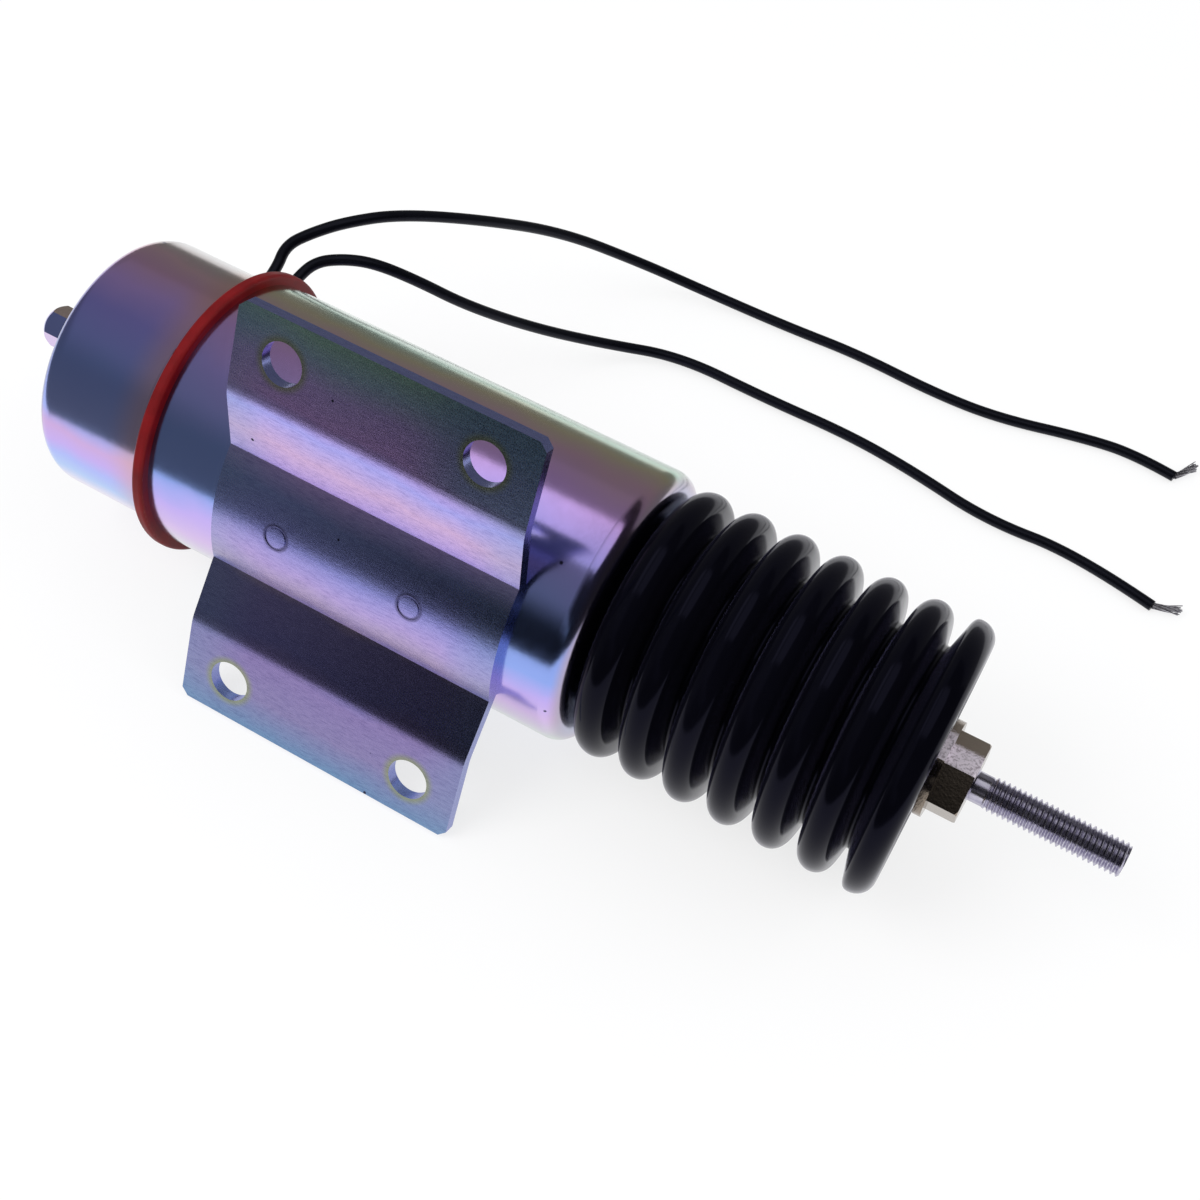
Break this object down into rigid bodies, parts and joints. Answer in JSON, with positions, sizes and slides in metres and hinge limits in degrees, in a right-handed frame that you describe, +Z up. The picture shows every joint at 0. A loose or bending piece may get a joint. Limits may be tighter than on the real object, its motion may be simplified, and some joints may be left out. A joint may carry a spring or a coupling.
{
  "type": "throttle solenoid",
  "caption": "Pull-type throttle solenoid: plated can with saddle bracket, rear cap on a red gasket, black bellows boot, threaded stud and bare-ended leads.",
  "frame": {"origin": "on the bench, under the middle of the bounding box of the solenoid without its leads", "axes": "+X along the plunger towards the threaded stud, +Z up as it lies on a bench on its gasket ring and its lower wing; the bracket faces -Y and a little up"},
  "size_m": [0.2916, 0.2129, 0.1011],
  "materials": {
    "plated_steel": "brushed, zinc chromate plated, iridescent lilac and blue",
    "gasket_rubber": "dark red, satin",
    "boot_rubber": "black, glossy",
    "stud_steel": "bright steel, rolled thread",
    "hex_nickel": "nickel plated, slightly rough",
    "soft_iron": "turned, uncoated",
    "liner_brass": "drawn, bright",
    "winding_copper": "enamelled copper wire",
    "bobbin_nylon": "moulded, natural nylon",
    "wrap_paper": "varnished insulating paper",
    "board_phenolic": "pressed phenolic sheet",
    "spring_steel": "oiled spring steel",
    "contact_brass": "stamped, bright",
    "grommet_rubber": "black, satin",
    "lead_insulation": "black wire insulation, semi-gloss",
    "tinned_copper": "tinned fine copper wires"
  },
  "bodies": {
    "housing": {"body_shell": "plated_steel", "mounting_bracket": "plated_steel", "rear_cap": "plated_steel", "cap_gasket": "gasket_rubber", "cap_stud": "stud_steel", "cap_washer": "plated_steel", "cap_nut": "plated_steel", "rear_flux_plate": "soft_iron", "fixed_pole": "soft_iron", "guide_tube": "liner_brass", "bobbin": "bobbin_nylon", "pull_in_winding": "winding_copper", "hold_in_winding": "winding_copper", "coil_wrap": "wrap_paper", "wave_washer": "spring_steel", "front_flux_plate": "soft_iron", "boot_collar": "soft_iron", "bellows_boot": "boot_rubber", "return_spring": "spring_steel", "switch_board": "board_phenolic", "board_pillars": "contact_brass", "fixed_contacts": "contact_brass", "pin_spring": "spring_steel", "switch_frame": "spring_steel", "lead_terminals": "contact_brass", "inner_leads": "lead_insulation", "lead_grommet": "grommet_rubber", "lead_a": "lead_insulation", "strands_a": "tinned_copper", "lead_b": "lead_insulation", "strands_b": "tinned_copper"},
    "plunger": {"plunger": "soft_iron", "drive_stud": "stud_steel", "spring_seat": "spring_steel", "hex_collar": "hex_nickel"},
    "switch_pin": {"push_pin": "stud_steel", "contact_bridge": "contact_brass"}
  },
  "joints": [
    {"name": "plunger_slide", "type": "slide", "parent": "housing", "child": "plunger", "axis": [1, 0, 0], "range_m": [-0.0254, 0], "stiffness_N_per_m": 900, "springref_m": 0.02, "deforming": ["bellows_boot", "return_spring"]},
    {"name": "pin_slide", "type": "slide", "parent": "housing", "child": "switch_pin", "axis": [1, 0, 0], "range_m": [-0.002, 0], "deforming": ["pin_spring"]}
  ],
  "couplings": [
    {"joint": "pin_slide", "follows": "plunger_slide", "ratio": 0.0787}
  ]
}
